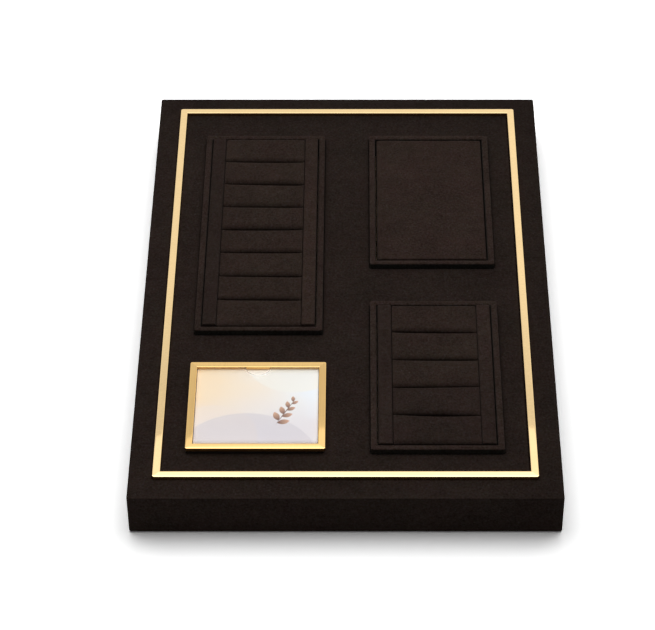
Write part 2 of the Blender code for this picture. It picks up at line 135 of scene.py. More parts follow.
def waves(x, y, size, seed):
    # a smooth field between about -1 and 1: a third of the sum of six sine waves in seeded directions
    source = np.random.default_rng(seed)
    angle, phase = source.uniform(0, 2 * np.pi, (2, 6))
    stretch = source.uniform(0.6, 1.5, 6)
    total = np.zeros(np.shape(x))
    for a, p, s in zip(angle, phase, stretch):
        total = total + np.sin((x * np.cos(a) + y * np.sin(a)) * 2 * np.pi / (size * s) + p)
    return total / 3


def settle(points, where, depth, size, seed):
    # cloth lies unevenly: the chosen points sink by depth x (0.5 + 0.5 x waves)
    points[..., 2] -= where * depth * (0.5 + 0.5 * waves(points[..., 0], points[..., 1], size, seed))


def adjust(made, **settings):
    for key, value in settings.items():
        setattr(made, key, value)
    return made


def addObject(name, data, **settings):
    made = adjust(bpy.data.objects.new(name, data), **settings)
    bpy.context.scene.collection.objects.link(made)
    return made


def makeMesh(name, parts, sharpDegrees=50):
    # parts are (points, faces) pairs; they are stacked, and points in the same place are merged
    points = np.concatenate([p.reshape(-1, 3) for p, _ in parts])
    starts = np.cumsum([0] + [p.size // 3 for p, _ in parts])
    faces = np.concatenate([f + start for (_, f), start in zip(parts, starts)])
    mesh = bpy.data.meshes.new(name)
    mesh.from_pydata(points.tolist(), [], faces.tolist())
    work = bmesh.new()
    work.from_mesh(mesh)
    bmesh.ops.remove_doubles(work, verts=work.verts, dist=0.002 * mm)
    bmesh.ops.dissolve_degenerate(work, dist=0.001 * mm, edges=work.edges)
    bmesh.ops.recalc_face_normals(work, faces=work.faces)
    highest = max(work.faces, key=lambda face: face.calc_center_median().z)
    if highest.normal.z < 0:  # an open surface has no outside of its own, but its top looks up
        bmesh.ops.reverse_faces(work, faces=work.faces)
    work.to_mesh(mesh)
    work.free()
    mesh.shade_smooth()
    mesh.set_sharp_from_angle(angle=math.radians(sharpDegrees))
    return addObject(name, mesh)


def paint(piece, material):
    piece.data.materials.clear()
    piece.data.materials.append(material)


def dress(piece, body, material, stoodFor):
    paint(piece, material)
    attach(piece, body)
    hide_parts(stoodFor)


def thicken(piece, thickness):
    adjust(piece.modifiers.new("cloth", "SOLIDIFY"), thickness=thickness, offset=-1.0)


# Node helpers

white = (1.0, 1.0, 1.0, 1.0)


def wire(node, inputs):
    # each named input gets a link or a constant
    for key, value in inputs.items():
        if isinstance(value, bpy.types.NodeSocket):
            node.id_data.links.new(value, node.inputs[key])
        else:
            node.inputs[key].default_value = value


def addNode(kind, inputs, tree=None, **settings):
    # without a tree of its own it goes where its links come from
    tree = tree or next(v.id_data for v in inputs.values() if isinstance(v, bpy.types.NodeSocket))
    made = adjust(tree.nodes.new("ShaderNode" + kind), **settings)
    wire(made, inputs)
    return made


def calc(operation, *values):
    return addNode("Math", dict(enumerate(values)), operation=operation).outputs[0]


def plus(first, second):
    return calc("ADD", first, second)


def times(first, second):
    return calc("MULTIPLY", first, second)


def timesPlus(value, factor, added):
    return calc("MULTIPLY_ADD", value, factor, added)


def greatest(first, *others):
    for other in others:
        first = calc("MAXIMUM", first, other)
    return first


def swing(value, amount, base=0.0, middle=0.5):
    # base + amount x (value - middle)
    return timesPlus(calc("SUBTRACT", value, middle), amount, base)


def ranged(value, start, end, first=0.0, last=1.0, **settings):
    # first up to the start, last from the end on, and even between
    inputs = {0: value, 1: start, 2: end, 3: first, 4: last}
    return addNode("MapRange", inputs, clamp=True, **settings).outputs[0]


def noise(vector, scale, detail=2.0, roughness=0.5, output="Fac"):
    inputs = {"Vector": vector, "Scale": scale, "Detail": detail, "Roughness": roughness}
    return addNode("TexNoise", inputs).outputs[output]


def blend(factor, first, second):
    return addNode("Mix", {0: factor, 6: first, 7: second}, data_type="RGBA").outputs[2]


def vectorMath(operation, *values, output=0):
    return addNode("VectorMath", dict(enumerate(values)), operation=operation).outputs[output]


def timesVector(first, second):
    return vectorMath("MULTIPLY", first, second)


def scaled(vector, factor):
    return addNode("VectorMath", {0: vector, "Scale": factor}, operation="SCALE").outputs[0]


def axes(vector):
    return addNode("SeparateXYZ", {0: vector}).outputs


def coordinates(tree, kind):
    return addNode("TexCoord", {}, tree).outputs[kind]


def newGroup(name, inputs, outputs):
    # each input and output has a start value, which tells whether it is a number, a vector or a colour
    group = bpy.data.node_groups.new(name, "ShaderNodeTree")
    kinds = {1: "NodeSocketFloat", 3: "NodeSocketVector", 4: "NodeSocketColor"}
    for way, sockets in (("INPUT", inputs), ("OUTPUT", outputs)):
        for label, value in sockets.items():
            socket = group.interface.new_socket(label, in_out=way, socket_type=kinds[np.size(value)])
            socket.default_value = value
    return group, group.nodes.new("NodeGroupInput").outputs, group.nodes.new("NodeGroupOutput")


def place(group, **inputs):
    return addNode("Group", inputs, node_tree=group).outputs


def newMaterial(name, constants=None):
    # returns the material, its tree, its shader and the object coordinates
    material = bpy.data.materials.new(name)
    material.use_nodes = True
    tree = material.node_tree
    shader = tree.nodes["Principled BSDF"]
    wire(shader, constants or {})
    return material, tree, shader, coordinates(tree, "Object")


def bump(height, distance, strength=1.0, **under):
    inputs = {"Height": height, "Distance": distance, "Strength": strength, **under}
    return addNode("Bump", inputs).outputs["Normal"]


# Shared effects

nowhere = (0.0, 0.0, 0.0)


def makeNapGroup():
    # Short nap: clouds where it lies another way, tufts, single fibres, painted glints on fibre tips, and a
    # few specks of lint. The scales here and below are waves per metre.
    inputs = {"Vector": nowhere, "Color": white, "Clouds": 0.0, "Grain": 0.0, "Lint": 0.0}
    tree, given, out = newGroup("suede nap", inputs, {"Color": white, "Height": 0.0, "Roughness": 0.0})
    at, grain = given["Vector"], given["Grain"]
    clouds = noise(at, 210.0)
    areas = noise(at, 34.0)
    tufts = noise(at, 780.0, 1.0)
    fibres = noise(at, 3600.0, 2.0, 0.6)
    glintTips = noise(timesVector(at, (1.0, 0.7, 1.0)), 1050.0, 1.0)
    dye = noise(at, 820.0, 1.0, output="Color")
    patches = noise(at, 55.0)

    level = swing(areas, given["Clouds"], swing(clouds, given["Clouds"]))
    fine = swing(fibres, grain, swing(tufts, grain))
    # painted glints: the fibre tips are made lighter
    fine = timesPlus(ranged(glintTips, 0.62, 0.80, last=0.5), grain, fine)
    level = greatest(plus(plus(level, fine), 1.0), 0.2)
    shade = scaled(given["Color"], level)
    warmth = blend(ranged(fine, -0.5, 0.5), (1.13, 1.0, 0.86, 1.0), (0.88, 1.0, 1.14, 1.0))
    olive = blend(ranged(patches, 0.32, 0.68), (1.03, 0.99, 1.01, 1.0), (0.97, 1.01, 0.985, 1.0))
    dyed = vectorMath("MULTIPLY_ADD", dye, (0.30, 0.30, 0.30), (0.85, 0.85, 0.85))
    for hue in (warmth, olive, dyed):
        shade = timesVector(shade, hue)

    cells = addNode("TexVoronoi", {"Vector": at, "Scale": 58.0}, feature="F1").outputs
    chance, sizeShare, _ = addNode("SeparateColor", {0: cells["Color"]}).outputs
    size = timesPlus(sizeShare, 0.010, 0.006)
    near = calc("LESS_THAN", cells["Distance"], size)
    speck = times(near, calc("GREATER_THAN", chance, 0.80))
    speck = times(speck, given["Lint"])
    wire(out, {
        "Color": blend(speck, shade, (0.11, 0.10, 0.09, 1.0)),
        "Height": timesPlus(fibres, 0.4, times(tufts, 0.6)),
        "Roughness": timesPlus(clouds, 0.16, 0.86),
    })
    return tree


def makeBrushGroup():
    # metal: fine lines along one direction, soft smudges, and a long slow wave of the sheet itself
    inputs = {"Vector": nowhere, "Lines": nowhere, "Roughness": 0.0, "Amount": 0.0}
    outputs = {"Roughness": 0.0, "Lines": 0.0, "Wave": 0.0, "Tone": 0.0}
    tree, given, out = newGroup("metal brushing", inputs, outputs)
    at = given["Vector"]
    lines = noise(timesVector(at, given["Lines"]), 1.0, 2.0, 0.6)
    smudges = noise(at, 70.0, 3.0, 0.6)
    smudged = swing(smudges, given["Amount"], middle=0.45)
    rough = timesPlus(smudged, given["Roughness"], given["Roughness"])
    wire(out, {
        "Roughness": greatest(swing(lines, 0.02, rough), 0.012),
        "Lines": lines,
        "Wave": noise(at, 14.0, 1.0, 0.4),
        "Tone": swing(smudges, 0.10, swing(lines, 0.16, 1.0)),
    })
    return tree


def makePulpGroup():
    # pressed board and felt: short fibres in two directions over a soft fleck
    inputs = {"Vector": nowhere, "Color": white, "Dark": white, "Scale": 0.0, "Amount": 0.0}
    tree, given, out = newGroup("pressed fibres", inputs, {"Color": white, "Height": 0.0})
    at, scale = given["Vector"], given["Scale"]
    alongX, alongY = (noise(timesVector(at, drawn), scale, 3.0, 0.6)
                      for drawn in ((0.22, 1.0, 1.0), (1.0, 0.22, 1.0)))
    fleck = noise(at, times(scale, 0.12), 3.0, 0.6)
    fibres = plus(alongY, alongX)
    share = ranged(plus(fibres, fleck), 1.15, 1.75)
    share = times(share, given["Amount"])
    wire(out, {"Color": blend(share, given["Color"], given["Dark"]), "Height": fibres})
    return tree


napGroup, brushGroup, pulpGroup = makeNapGroup(), makeBrushGroup(), makePulpGroup()


# Materials

suedeTones = {  # base colour, cloud strength, grain strength, lint
    "board suede": ((0.0173, 0.0118, 0.0097), 0.50, 1.30, 1.6),
    "rim suede": ((0.0250, 0.0165, 0.0135), 0.60, 1.6, 2.0),
    "large rim suede": ((0.0231, 0.0151, 0.0124), 0.60, 1.6, 2.0),
    "bar suede": ((0.0231, 0.0154, 0.0123), 0.50, 1.20, 1.5),
    "dim bar suede": ((0.0208, 0.0137, 0.0114), 0.50, 1.20, 1.5),
    "left strip suede": ((0.0199, 0.0133, 0.0112), 0.45, 1.10, 0.8),
    "right strip suede": ((0.0277, 0.0179, 0.0144), 0.55, 1.25, 1.6),
    "small left strip suede": ((0.0216, 0.0144, 0.0121), 0.45, 1.15, 1.2),
    "small right strip suede": ((0.0256, 0.0167, 0.0137), 0.55, 1.25, 1.5),
    "pad suede": ((0.0243, 0.0156, 0.0126), 0.50, 1.28, 3.0),
    "well suede": ((0.0165, 0.0109, 0.0087), 0.30, 1.0, 0.4),
}
suedeFinish = {"Sheen Weight": 0.03, "Sheen Roughness": 0.5, "Sheen Tint": (0.95, 0.84, 0.76, 1.0),
               "Specular IOR Level": 0.0}
# Painted shade where less light falls: darker towards the right and the back of the board, towards one end of
# the right strips, and down the trays' walls, where it also takes out some red.
# Axis, where the change starts and ends along it, and the share of red, green and blue left there.
# painted shade down the walls of the trays, with less red
paintedWallShade = ("Z", 30.3 * mm, 29.8 * mm, (0.60, 0.82, 0.86))
paintedShade = {
    "board suede": [("X", 60 * mm, 112 * mm, (0.90, 0.91, 0.91)),
                    ("Y", 120 * mm, 170 * mm, (0.89, 0.90, 0.90))],
    "right strip suede": [("Y", 40 * mm, 105 * mm, (0.89, 0.89, 0.90))],
    "small right strip suede": [("Y", -40 * mm, -130 * mm, (0.76, 0.77, 0.79))],
    "rim suede": [paintedWallShade],
    "large rim suede": [paintedWallShade],
}
plainSurface = (900.0, 900.0, 900.0)  # no direction in the brushing
brushedAlongY = (2200.0, 45.0, 2200.0)
brassTones = {  # colour, roughness, scale of the lines along x, y and z, smudges, depth of the slow wave
    "border brass": ((0.91, 0.665, 0.343), 0.03, plainSurface, 0.5, 0.0015 * mm),
    "card frame brass": ((0.83, 0.545, 0.217), 0.03, brushedAlongY, 0.5, 0.0015 * mm),
}
pressedTones = {  # light colour, dark colour, scale and amount of the fibres, roughness, depth
    "raw mdf": ((0.43, 0.31, 0.20), (0.24, 0.16, 0.09), 1400.0, 0.8, 0.85, 0.03 * mm),
    "dark insert board": ((0.009, 0.007, 0.006), (0.004, 0.003, 0.003), 1500.0, 0.7, 0.95, 0.02 * mm),
    "black board": ((0.007, 0.006, 0.006), (0.003, 0.003, 0.003), 2200.0, 0.5, 0.45, 0.01 * mm),
    "black felt": ((0.013, 0.012, 0.012), (0.006, 0.0055, 0.0055), 1100.0, 0.9, 1.0, 0.12 * mm),
}
acrylicFinish = {"IOR": 1.12, "Transmission Weight": 1.0, "Specular IOR Level": 0.1,
                 "Base Color": (0.985, 0.99, 0.99, 1.0)}


def makeSuede(name, colour, clouds, grain, lint):
    material, _, shader, at = newMaterial(name, suedeFinish)
    shift = (0.013 * len(name), 0.0, 0.0)  # no two pieces side by side have the same clouds
    moved = addNode("Mapping", {"Vector": at, "Location": shift}).outputs[0]
    nap = place(napGroup, Vector=moved, Color=(*colour, 1.0), Clouds=clouds, Grain=grain, Lint=lint)
    shade = nap["Color"]
    # painted shade: darker by place on the piece
    for axis, start, end, share in paintedShade.get(name, ()):
        tint = blend(ranged(axes(at)[axis], start, end), white, (*share, 1.0))
        shade = timesVector(shade, tint)
    normal = bump(nap["Height"], 0.22 * mm, 0.6)
    wire(shader, {"Base Color": shade, "Roughness": nap["Roughness"], "Normal": normal})
    return material


def makeBrass(name, colour, roughness, lines, amount, waveDepth):
    material, _, shader, at = newMaterial(name, {"Metallic": 1.0})
    metal = place(brushGroup, Vector=at, Lines=lines, Roughness=roughness, Amount=amount)
    normal = bump(metal["Lines"], 0.0003 * mm, Normal=bump(metal["Wave"], waveDepth))
    shade = scaled(colour, metal["Tone"])
    wire(shader, {"Base Color": shade, "Roughness": metal["Roughness"], "Normal": normal})
    return material


def makePressed(name, colour, dark, scale, amount, roughness, depth):
    material, _, shader, at = newMaterial(name, {"Roughness": roughness, "Specular IOR Level": 0.25})
    pulp = place(pulpGroup, Vector=at, Color=(*colour, 1.0), Dark=(*dark, 1.0), Scale=scale, Amount=amount)
    wire(shader, {"Base Color": pulp["Color"], "Normal": bump(pulp["Height"], depth)})
    return material


def makeAcrylic():
    # Light passes straight through to the card, and the camera sees the real plate. Its sawn edges are
    # frosted: there the object's own normal points sideways.
    material, tree, shader, at = newMaterial("clear acrylic plate", acrylicFinish)
    upright = calc("ABSOLUTE", axes(coordinates(tree, "Normal"))["Z"])
    frost = ranged(upright, 0.9, 0.3, 0.012, 0.55)
    saw = timesPlus(noise(at, 900.0), 0.4, 0.8)
    wire(shader, {"Roughness": times(frost, saw)})
    path = addNode("LightPath", {}, tree).outputs
    through = greatest(path["Is Shadow Ray"], path["Is Diffuse Ray"])
    clear = addNode("BsdfTransparent", {"Color": (0.97, 0.975, 0.975, 1.0)}, tree)
    mixed = addNode("MixShader", {0: through, 1: shader.outputs[0], 2: clear.outputs[0]})
    wire(tree.nodes["Material Output"], {"Surface": mixed.outputs[0]})
    return material


suede = {name: makeSuede(name, *values) for name, values in suedeTones.items()}
brass = {name: makeBrass(name, *values) for name, values in brassTones.items()}
pressed = {name: makePressed(name, *values) for name, values in pressedTones.items()}
print("materials made")


# Picture card

artwork = {
    "lowColour": (0.84, 0.79, 0.82, 1.0),  # near edge, a cool lilac white
    "leftColour": (1.0, 0.77, 0.51, 1.0),  # far left, peach
    "rightColour": (0.91, 0.94, 0.99, 1.0),  # far right, a cool white
    "washScale": 2.2,
    "washDrift": 0.5,
    "horizon": (0.12, 0.72),  # the low colour gives way between these heights
    "upShare": 0.88,  # the card's depth as a share of its width
    "discs": [  # centre across, centre up, radius, colour, strength
        (0.80, 1.02, 0.42, (0.96, 0.93, 0.86, 1.0), 0.75),
        (0.16, 0.10, 0.36, (0.93, 0.80, 0.70, 1.0), 0.55),
        (0.42, -0.25, 0.62, (0.68, 0.63, 0.68, 1.0), 0.62),
    ],
    "discEdge": 0.012,
    "paper": (0.05, 0.975, 0.006 * mm),  # how much its grain varies, its lowest tone, its depth
}
sprig = {  # lengths are shares of the card's width, angles are in degrees
    "colour": (0.14, 0.05, 0.026, 1.0),
    "light": (0.72, 0.42, 0.28, 1.0),
    "strength": 0.95,
    "root": (0.66, 0.24, 0.0),
    "turn": 62.0,  # of the stem, from the card's long side
    "pairs": 4,
    "spacing": 0.082,
    "start": 0.35,  # of the first pair, and half the distance within a pair, in spacings
    "stagger": 0.18,
    "leafTurn": (48.0, 6.0),  # of the first pair from the stem, and how much less each next pair turns
    "shrink": 0.13,  # each next pair is shorter by this share
    "length": 0.105,
    "width": 0.026,
    "reach": 0.52,  # from the stem to a leaf's middle, in leaf lengths
    "stem": (1.05, 0.0035),  # length in spacings of all pairs, width
}


def makeLeafGroup():
    # a leaf lies where |across| < width x (1 - (along / half length)^2), in axes turned to its own direction
    inputs = {"Vector": nowhere, "Center": nowhere, "Turn": 0.0, "Length": 0.0, "Width": 0.0}
    tree, given, out = newGroup("printed leaf", inputs, {"Mask": 0.0, "Along": 0.0})
    offset = vectorMath("SUBTRACT", given["Vector"], given["Center"])
    back = {"Vector": offset, "Angle": times(given["Turn"], -1.0)}
    own = axes(addNode("VectorRotate", back, rotation_type="Z_AXIS").outputs[0])
    along = calc("DIVIDE", own[0], times(given["Length"], 0.5))
    bulge = calc("SUBTRACT", 1.0, times(along, along))
    reach = times(bulge, given["Width"])
    inside = calc("SUBTRACT", reach, calc("ABSOLUTE", own[1]))
    wire(out, {"Mask": ranged(inside, -0.0015, 0.0015),
                      "Along": timesPlus(along, 0.5, 0.5)})
    return tree


def aimed(turn, length):
    return np.array([math.cos(turn), math.sin(turn), 0.0]) * length


def sprigLeaves():
    # centre, turn, length and width of each leaf, pair by pair up the stem
    turn = math.radians(sprig["turn"])
    for pair in range(sprig["pairs"]):
        size = 1.0 - sprig["shrink"] * pair
        for side in (-1, 1):
            upStem = sprig["spacing"] * (pair + sprig["start"] + sprig["stagger"] * side)
            leafTurn = turn + side * math.radians(sprig["leafTurn"][0] - sprig["leafTurn"][1] * pair)
            reach = sprig["length"] * size * sprig["reach"]
            centre = sprig["root"] + aimed(turn, upStem) + aimed(leafTurn, reach)
            yield centre, leafTurn, sprig["length"] * size, sprig["width"] * size


def addSprig(flat, picture):
    leaf = makeLeafGroup()
    turn = math.radians(sprig["turn"])
    stemLength = sprig["spacing"] * sprig["pairs"]
    longer, stemWidth = sprig["stem"]
    middle = sprig["root"] + aimed(turn, stemLength / 2)
    stem = place(leaf, Vector=flat, Center=middle, Turn=turn, Length=stemLength * longer, Width=stemWidth)
    leaves = [place(leaf, Vector=flat, Center=centre, Turn=leafTurn, Length=length, Width=width)
              for centre, leafTurn, length, width in sprigLeaves()]
    mask = greatest(stem["Mask"], *(made["Mask"] for made in leaves))
    glow = greatest(*(times(made["Mask"], made["Along"]) for made in leaves))
    leafPaint = blend(glow, sprig["colour"], sprig["light"])
    return blend(times(mask, sprig["strength"]), picture, leafPaint)


def makePrintedCard():
    # pastel washes that run into each other, three large soft discs, and one small sprig of leaves
    material, tree, shader, at = newMaterial("printed card", {"Roughness": 0.42, "Specular IOR Level": 0.2})
    uv = coordinates(tree, "UV")
    wash = noise(uv, artwork["washScale"], 3.0)
    across, up, _ = axes(uv)
    drift = swing(wash, artwork["washDrift"])
    far = blend(plus(across, drift), artwork["leftColour"], artwork["rightColour"])
    lift = ranged(plus(up, drift), *artwork["horizon"], interpolation_type="SMOOTHSTEP")
    picture = blend(lift, artwork["lowColour"], far)
    inWidths = {0: across, 1: times(up, artwork["upShare"]), 2: 0.0}
    flat = addNode("CombineXYZ", inWidths).outputs[0]
    for x, y, radius, colour, strength in artwork["discs"]:
        away = vectorMath("DISTANCE", flat, (x, y, 0.0), output="Value")
        disc = ranged(away, radius, radius - artwork["discEdge"], last=strength)
        fade = times(disc, timesPlus(wash, 0.8, 0.5))
        picture = blend(fade, picture, colour)
    picture = addSprig(flat, picture)
    paper = noise(at, 2600.0)
    varied, lowest, depth = artwork["paper"]
    picture = scaled(picture, timesPlus(paper, varied, lowest))
    wire(shader, {"Base Color": picture, "Normal": bump(paper, depth)})
    return material


# Wrapped board

board = inMm(
    edge=0.42,  # rounding of the wrapped edges
    corner=1.3,  # of the board, seen from above
    lip=0.6,  # rounding into the wells
    wellCorner=1.2,
    wellPlay=0.25,  # the soft edge of the cloth comes close to the tray
    wellFloor=14.2,
    grooveLip=0.3,
    grooveGap=0.48,
    grooveShift=(-0.33, 0.33),  # the brass sits this far to the right and front in its groove
    grooveDepth=1.8,
    grooveCorners=(0.4, 1.4),  # of its inner and its outer side, seen from above
    marginCorner=1.5,
    hemRows=(5.0, 15.0),  # the hem's middle and its end
    hemCorner=0.1,
    cloth=0.6,
    ripple=(0.05, 46.0),  # depth and size of the cloth's unevenness on its board
    seam=(0.22, 0.25, 0.6),  # butt seam beside each upright corner: depth, width, distance
    nearCorner=(1.2, 1.6, 1.9, 2.2, 2.6, 3.4),  # lines that show the seam
    fieldStep=5.0,
)
borderBar = 4.2 * mm
lining = inMm(corner=1.0, feltCorner=3.0, ripple=(0.04, 30.0), thinner=0.05)
rippleSeeds = {"board": 5, "lining": 9, "rim": 3}
trayBodies = {"large_ring": "large rim suede", "small_ring": "rim suede", "pad": "rim suede"}


def wellHoles():
    # centre and half sizes of each well in the cloth
    for kind in trayBodies:
        _, _, halves, centre = boxOf(f"{kind}_tray_frame")
        yield (*centre[:2], *(halves[:2] + board["wellPlay"]))


def fieldLines(edges):
    # the lines that matter, with even ones between them
    edges = np.unique(np.round(edges, 7))
    steps = [spread(a, b, board["fieldStep"]) for a, b in zip(edges[:-1], edges[1:])]
    return np.unique(np.concatenate(steps))


def fieldPart(linesX, linesY, top, holes, flat):
    # a flat grid that leaves out the wells and a flat margin round each
    x, y = np.meshgrid(linesX, linesY, indexing="xy")
    field = np.stack([x, y, np.full(x.shape, top)], -1)
    quads = gridQuads(*x.shape)
    middle = field.reshape(-1, 3)[quads].mean(1)
    keep = np.ones(len(quads), bool)
    for x, y, halfX, halfY in holes:
        keep &= ~((abs(middle[:, 0] - x) < halfX + flat) & (abs(middle[:, 1] - y) < halfY + flat))
    return field, quads[keep]


def wellPart(hole, linesX, linesY, top, flat):
    # the flat margin, the rounded lip and the wall of one well; outward is into the well here
    x, y, halfX, halfY = hole
    lip, corner = board["lip"], board["wellCorner"]
    rows = [(halfX + flat, halfY + flat, x, y, top, 0.0)]
    rows += [(halfX - out, halfY - out, x, y, z, corner + 0.4 * out)
             for out, z in arcRows(-lip, top - lip, lip, 0, 90, 5)]
    rows += [(halfX, halfY, x, y, z, corner) for z in np.linspace(top - lip, board["wellFloor"], 5)[1:]]
    shares = [(lines[abs(lines - middle) < half + flat + 1e-6] - middle) / (half + flat)
              for lines, middle, half in ((linesX, x, halfX), (linesY, y, halfY))]
    return ringPart(rows, *shares)


def outlineRows(field, inner, outer, centre, edges, top, bottom):
    # from the field over the groove, the margin and the rounded edge down the side to the hem
    bend, edge, corner = board["grooveLip"], board["edge"], board["corner"]
    innerCorner, outerCorner = board["grooveCorners"]
    groove = centre + board["grooveShift"]
    rows = [(*field, *centre, top, 0.0)]
    rows += [(*(inner + out), *groove, z, innerCorner)
             for out, z in arcRows(-bend, top - bend, bend, 0, 90, 5)]
    rows.append((*inner, *groove, top - board["grooveDepth"], innerCorner))
    rows.append((*outer, *groove, top - board["grooveDepth"], outerCorner))
    rows += [(*(outer + out), *groove, z, outerCorner + out)
             for out, z in arcRows(bend, top - bend, bend, -90, 0, 5)]
    margin = edges - edge - outer - bend
    for share in (0.33, 0.66):
        rows.append((*(outer + bend + share * margin), centre[0], centre[1] * (1 - share), top,
                     board["marginCorner"]))
    side = [(0.0, z) for z in np.linspace(top - edge, bottom + edge, 9)[1:-1]]
    over, under = arcRows(-edge, top - edge, edge, 0, 90, 6), arcRows(-edge, bottom + edge, edge, 90, 180, 6)
    rows += [(*(edges + out), 0.0, 0.0, z, corner + out) for out, z in (*over, *side, *under)]
    rows += [(*(edges - inset), 0.0, 0.0, bottom, board["hemCorner"]) for inset in board["hemRows"]]
    return rows


def makeBoardWrap():
    # a flat field between the wells, one profile carried round it to the hem, and another down each well
    low, high, _, _ = boxOf("base_fabric_wrap")
    top, bottom, edges = high[2], low[2], high[:2]
    _, _, halves, centre = boxOf("brass_border")
    centre = centre[:2]
    inner = halves[:2] - borderBar - board["grooveGap"]
    outer = halves[:2] + board["grooveGap"]
    flat = 1.2 * board["lip"]
    field = inner - flat
    holes = list(wellHoles())
    linesX, linesY = (
        fieldLines([middle + side * half for side in (-1, 1) for middle, half in
                    [(centre[axis], field[axis])] + [(hole[axis], hole[axis + 2] + flat) for hole in holes]])
        for axis in (0, 1))
    parts = [fieldPart(linesX, linesY, top, holes, flat)]
    parts += [wellPart(hole, linesX, linesY, top, flat) for hole in holes]

    sharesX, sharesY = (linesX - centre[0]) / field[0], (linesY - centre[1]) / field[1]
    nearCorner = 1 - board["nearCorner"] / edges[1]
    sharesY = np.unique(np.concatenate([sharesY, nearCorner, -nearCorner]))
    outline, quads = ringPart(outlineRows(field, inner, outer, centre, edges, top, bottom), sharesX, sharesY)
    x, y, z = np.moveaxis(outline, -1, 0)
    onWall = abs(z - (top + bottom) / 2) < (top - bottom - board["edge"]) / 2
    onWall &= abs(abs(x) - edges[0]) < 0.05 * mm
    depth, width, distance = board["seam"]  # depth x exp(-((distance from the corner) / width)^2)
    fromSeam = edges[1] - board["corner"] - abs(y) - distance
    outline[..., 0] = x - np.sign(x) * depth * np.exp(-(fromSeam / width) ** 2) * onWall
    parts.append((outline, quads))

    for points, _ in parts:  # the same field of waves moves shared points alike
        settle(points, points[..., 2] > top - 0.01 * mm, *board["ripple"], rippleSeeds["board"])
    wrap = makeMesh("board_wrap", parts)
    thicken(wrap, board["cloth"])
    dress(wrap, "base", suede["board suede"], "base_fabric_wrap")


def makeFlatCloth(name, node, material, corner):
    # a flat rectangle with rounded corners, drawn in from its edge to its middle line, with a slight wave
    low, high, halves, centre = boxOf(node)
    middle = (*centre[:2], high[2])
    rows = [(*(halves[:2] - inset), *middle, max(corner - inset, 0.0))
            for inset in np.linspace(0, halves[0] - 0.5 * mm, 9)]
    points, quads = ringPart(rows, np.linspace(-1, 1, 15), np.linspace(-1, 1, 25))
    count, columns = points.shape[0] * points.shape[1], points.shape[1]
    quads = np.concatenate([quads, fan(np.arange(count - columns, count), count)])
    points = np.concatenate([points.reshape(-1, 3), [middle]])
    settle(points, 1.0, *lining["ripple"], rippleSeeds["lining"])
    cloth = makeMesh(name, [(points, quads)])
    thicken(cloth, high[2] - low[2] - lining["thinner"])
    dress(cloth, "base", material, node)


makeBoardWrap()
for kind in trayBodies:
    makeFlatCloth(f"{kind}_lining", f"{kind}_well_lining", suede["well suede"], lining["corner"])
print("board wrapped")


# Tray frames

trayRim = inMm(
    bar=3.8,
    round=0.6,  # outer edge
    innerRound=1.15,
    corner=1.4,
    leastCorner=0.25,
    crown=0.10,
    ripple=(0.05, 25.0),
)


def makeTrayFrame(kind, material):
    # a bar with a wide rounded inner edge, carried round the tray
    low, high, halves, centre = boxOf(f"{kind}_tray_frame")
    r, crown = trayRim["round"], trayRim["crown"]
    rounds, foot = (r, trayRim["innerRound"]), (0.4 * r, r)
    profile = barProfile(low[2], high[2], trayRim["bar"], rounds, crown, foot, (6, 7, 5, 7))
    points, quads = carriedRound(profile, halves, centre, trayRim["corner"], trayRim["leastCorner"], 19, 33)
    settle(points, points[..., 2] > high[2] - crown - 0.1 * mm, *trayRim["ripple"], rippleSeeds["rim"])
    rim = makeMesh(f"{kind}_rim", [(points, quads)], 60)
    dress(rim, f"{kind}_tray", material, f"{kind}_tray_frame")


for kind, suedeName in trayBodies.items():
    makeTrayFrame(kind, suede[suedeName])
print("tray frames wrapped")


# Foam pieces

ringBar = inMm(
    frontRoll=(3.0, 1.7),  # the cloth rolls over this width, and down by this height
    backRoll=(1.3, 0.8),
    endRoll=(2.2, 0.45),
    endRound=0.30,  # of its corners, seen from above
    crown=0.25,
    unevenness=0.10,
    swell=0.08,  # how far the cloth stands out past the plain block
)
endStrip = inMm(
    outerRoll=(1.25, 1.0),  # beside the rim
    innerRoll=(0.9, 0.8),  # beside the bars
    endRoll=(0.6, 0.5),
    endRound=0.5,
    crown=0.06,
    unevenness=0.06,
    swell=-0.08,
)
flatPad = inMm(
    frontRoll=(1.2, 1.0),
    backRoll=(1.2, 1.0),
    endRoll=(1.1, 0.8),
    endRound=0.6,
    crown=0.35,
    unevenness=0.22,
    swell=-0.05,
    cutLeft=0.16,
    cutRight=0.10,
    cutBack=0.20,
)
foam = {
    "foot": 0.3 * mm,  # height where the sides start, and how far the underside lies in
    "steps": (0.4 * mm, 1.8 * mm, 0.9 * mm),  # between its lines at the ends, along it and across it
    "waveSize": 17 * mm,
    "slitDepth": 6.0 * mm,  # below this the bars touch evenly
    "fadeAtEnds": 18,  # power of u: a slit stands open almost up to the strips
    "seeds": {"bar": 20, "strip": 40, "pad": 60},
}
# Each slit from the back, in mm: how far it stands open, at which place along it (-1 left, 1 right), over
# what share of its length, how far it lies towards the back, and how far its right end does so too.
ringSlits = {
    "large_ring": [(2.30, 0.1, 1.6, 0.1, -0.2), (2.90, 0.8, 2.0, -0.2, -0.35), (1.90, 0.4, 1.8, -0.4, -0.2),
                   (2.60, -0.1, 1.8, 0.0, 0.0), (1.95, 0.3, 1.8, 0.3, 0.0), (1.90, 0.7, 1.8, 0.3, -0.2),
                   (1.75, 0.0, 1.8, 1.1, -0.3)],
    "small_ring": [(2.10, -0.25, 1.6, 0.3, -0.4), (1.80, 0.35, 1.6, -0.2, -0.1), (1.40, -0.5, 1.8, 0.2, 0.3),
                   (2.50, 0.05, 0.85, 0.3, -0.4)],
}
# Against the rim, evenly along it: how far the first bar's back and the last bar's front stand open, in mm.
# Where it is less than 0 the cloth bulges towards the rim.
rimSlits = {"large_ring": (-0.7, -0.1), "small_ring": (-0.3, 0.7)}
